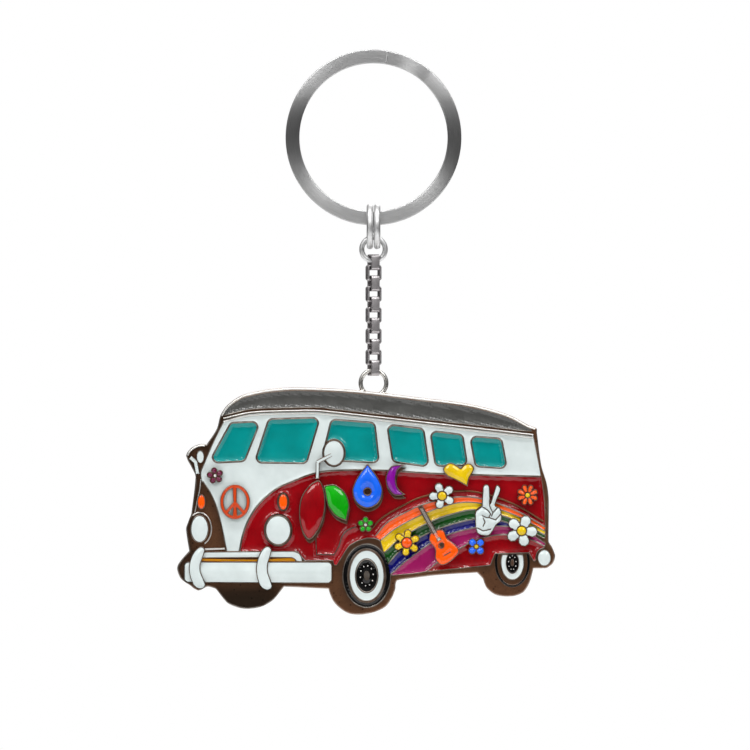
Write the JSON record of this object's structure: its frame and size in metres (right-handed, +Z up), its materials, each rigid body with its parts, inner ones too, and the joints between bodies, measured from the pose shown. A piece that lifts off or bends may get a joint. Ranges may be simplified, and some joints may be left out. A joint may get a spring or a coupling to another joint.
{
  "type": "enamel charm keychain",
  "caption": "Keychain: a split ring, small rings and a flat-strip chain carry a flat cast minibus charm filled with coloured enamel and raised flowers.",
  "frame": {"origin": "inner top of the split ring, where a hook or a finger holds the hanging keychain", "axes": "+Z up along the hanging chain, -Y towards the charm's enamelled front, +X to the right seen from the front"},
  "size_m": [0.0629, 0.0076, 0.0942],
  "materials": {
    "band_green": "glossy enamel",
    "band_magenta": "glossy enamel",
    "band_navy": "glossy enamel",
    "band_orange": "glossy enamel",
    "band_yellow": "glossy enamel",
    "body_red": "glossy enamel",
    "body_red_rear": "glossy enamel",
    "body_white": "glossy enamel",
    "bumper_bar": "glossy enamel",
    "bumper_end": "glossy enamel",
    "bumper_guard_1": "glossy enamel",
    "bumper_guard_2": "glossy enamel",
    "bumper_rail": "glossy enamel",
    "chain_link_01": "polished nickel-plated steel",
    "chain_link_02": "polished nickel-plated steel",
    "chain_link_03": "polished nickel-plated steel",
    "chain_link_04": "polished nickel-plated steel",
    "chain_link_05": "polished nickel-plated steel",
    "chain_link_06": "polished nickel-plated steel",
    "chain_link_07": "polished nickel-plated steel",
    "chain_link_08": "polished nickel-plated steel",
    "chain_link_09": "polished nickel-plated steel",
    "chain_link_10": "polished nickel-plated steel",
    "chain_link_11": "polished nickel-plated steel",
    "connector_ring": "polished nickel-plated steel",
    "flower_blue": "glossy enamel",
    "flower_green": "glossy enamel",
    "flower_orange": "glossy enamel",
    "flower_plum": "glossy enamel",
    "flower_white_front": "glossy enamel",
    "flower_white_rear": "glossy enamel",
    "flower_yellow": "glossy enamel",
    "front_hub": "glossy enamel",
    "front_tyre_ring": "glossy enamel",
    "front_white_ring": "glossy enamel",
    "guitar_body": "glossy enamel",
    "hand": "glossy enamel",
    "hanger_loop": "polished nickel-plated steel",
    "headlight_1": "glossy enamel",
    "headlight_2": "glossy enamel",
    "heart": "glossy enamel",
    "jump_ring": "polished nickel-plated steel",
    "mirror_disc": "glossy enamel",
    "peace_sign": "glossy enamel",
    "rear_white_ring": "glossy enamel",
    "relief_board": "glossy enamel",
    "relief_drop": "glossy enamel",
    "relief_leaf": "glossy enamel",
    "relief_moon": "glossy enamel",
    "roof_enamel": "glossy enamel",
    "signal_1": "glossy enamel",
    "signal_2": "glossy enamel",
    "split_ring": "brushed nickel-plated steel",
    "van_plate": "nickel-plated zinc casting, dark in the recesses",
    "window_1": "glossy enamel",
    "window_2": "glossy enamel",
    "window_3": "glossy enamel",
    "window_4": "glossy enamel",
    "window_5": "glossy enamel",
    "window_6": "glossy enamel"
  },
  "bodies": {
    "split_ring": {"split_ring": "split_ring"},
    "connector_ring": {"connector_ring": "connector_ring"},
    "jump_ring": {"jump_ring": "jump_ring"},
    "chain_link_01": {"chain_link_01": "chain_link_01"},
    "chain_link_02": {"chain_link_02": "chain_link_02"},
    "chain_link_03": {"chain_link_03": "chain_link_03"},
    "chain_link_04": {"chain_link_04": "chain_link_04"},
    "chain_link_05": {"chain_link_05": "chain_link_05"},
    "chain_link_06": {"chain_link_06": "chain_link_06"},
    "chain_link_07": {"chain_link_07": "chain_link_07"},
    "chain_link_08": {"chain_link_08": "chain_link_08"},
    "chain_link_09": {"chain_link_09": "chain_link_09"},
    "chain_link_10": {"chain_link_10": "chain_link_10"},
    "chain_link_11": {"chain_link_11": "chain_link_11"},
    "van_charm": {"band_green": "band_green", "band_magenta": "band_magenta", "band_navy": "band_navy", "band_orange": "band_orange", "band_yellow": "band_yellow", "body_red": "body_red", "body_red_rear": "body_red_rear", "body_white": "body_white", "bumper_bar": "bumper_bar", "bumper_end": "bumper_end", "bumper_guard_1": "bumper_guard_1", "bumper_guard_2": "bumper_guard_2", "bumper_rail": "bumper_rail", "flower_blue": "flower_blue", "flower_green": "flower_green", "flower_orange": "flower_orange", "flower_plum": "flower_plum", "flower_white_front": "flower_white_front", "flower_white_rear": "flower_white_rear", "flower_yellow": "flower_yellow", "front_hub": "front_hub", "front_tyre_ring": "front_tyre_ring", "front_white_ring": "front_white_ring", "guitar_body": "guitar_body", "hand": "hand", "hanger_loop": "hanger_loop", "headlight_1": "headlight_1", "headlight_2": "headlight_2", "heart": "heart", "mirror_disc": "mirror_disc", "peace_sign": "peace_sign", "rear_white_ring": "rear_white_ring", "relief_board": "relief_board", "relief_drop": "relief_drop", "relief_leaf": "relief_leaf", "relief_moon": "relief_moon", "roof_enamel": "roof_enamel", "signal_1": "signal_1", "signal_2": "signal_2", "van_plate": "van_plate", "window_1": "window_1", "window_2": "window_2", "window_3": "window_3", "window_4": "window_4", "window_5": "window_5", "window_6": "window_6"}
  },
  "joints": [
    {"name": "connector_slide_round", "type": "hinge", "parent": "split_ring", "child": "connector_ring", "pos_m": [0, 0, -0.01235], "axis": [0, 1, 0], "continuous": true},
    {"name": "jump_ring_swing", "type": "hinge", "parent": "connector_ring", "child": "jump_ring", "pos_m": [0, 0, -0.0272], "axis": [1, 0, 0], "range_deg": [-60, 60]},
    {"name": "chain_link_01_swing", "type": "hinge", "parent": "jump_ring", "child": "chain_link_01", "pos_m": [0, 0, -0.03294], "axis": [-1, 0, 0], "range_deg": [-45, 45]},
    {"name": "chain_link_02_swing", "type": "hinge", "parent": "chain_link_01", "child": "chain_link_02", "pos_m": [0, 0, -0.03404], "axis": [-0.3256, 0.9455, 0], "range_deg": [-20, 20]},
    {"name": "chain_link_03_swing", "type": "hinge", "parent": "chain_link_02", "child": "chain_link_03", "pos_m": [0, 0, -0.0358], "axis": [-0.9455, -0.3256, 0], "range_deg": [-20, 20]},
    {"name": "chain_link_04_swing", "type": "hinge", "parent": "chain_link_03", "child": "chain_link_04", "pos_m": [0, 0, -0.03756], "axis": [0.3256, -0.9455, 0], "range_deg": [-20, 20]},
    {"name": "chain_link_05_swing", "type": "hinge", "parent": "chain_link_04", "child": "chain_link_05", "pos_m": [0, 0, -0.03932], "axis": [0.9455, 0.3256, 0], "range_deg": [-20, 20]},
    {"name": "chain_link_06_swing", "type": "hinge", "parent": "chain_link_05", "child": "chain_link_06", "pos_m": [0, 0, -0.04108], "axis": [-0.3256, 0.9455, 0], "range_deg": [-20, 20]},
    {"name": "chain_link_07_swing", "type": "hinge", "parent": "chain_link_06", "child": "chain_link_07", "pos_m": [0, 0, -0.04284], "axis": [-0.9455, -0.3256, 0], "range_deg": [-20, 20]},
    {"name": "chain_link_08_swing", "type": "hinge", "parent": "chain_link_07", "child": "chain_link_08", "pos_m": [0, 0, -0.0446], "axis": [0.3256, -0.9455, 0], "range_deg": [-20, 20]},
    {"name": "chain_link_09_swing", "type": "hinge", "parent": "chain_link_08", "child": "chain_link_09", "pos_m": [0, 0, -0.04636], "axis": [0.9455, 0.3256, 0], "range_deg": [-20, 20]},
    {"name": "chain_link_10_swing", "type": "hinge", "parent": "chain_link_09", "child": "chain_link_10", "pos_m": [0, 0, -0.04812], "axis": [-0.3256, 0.9455, 0], "range_deg": [-20, 20]},
    {"name": "chain_link_11_swing", "type": "hinge", "parent": "chain_link_10", "child": "chain_link_11", "pos_m": [0, 0, -0.04988], "axis": [-0.9455, -0.3256, 0], "range_deg": [-20, 20]},
    {"name": "van_swing", "type": "hinge", "parent": "chain_link_11", "child": "van_charm", "pos_m": [0, 0, -0.05112], "axis": [1, 0, 0], "range_deg": [-90, 90]}
  ]
}
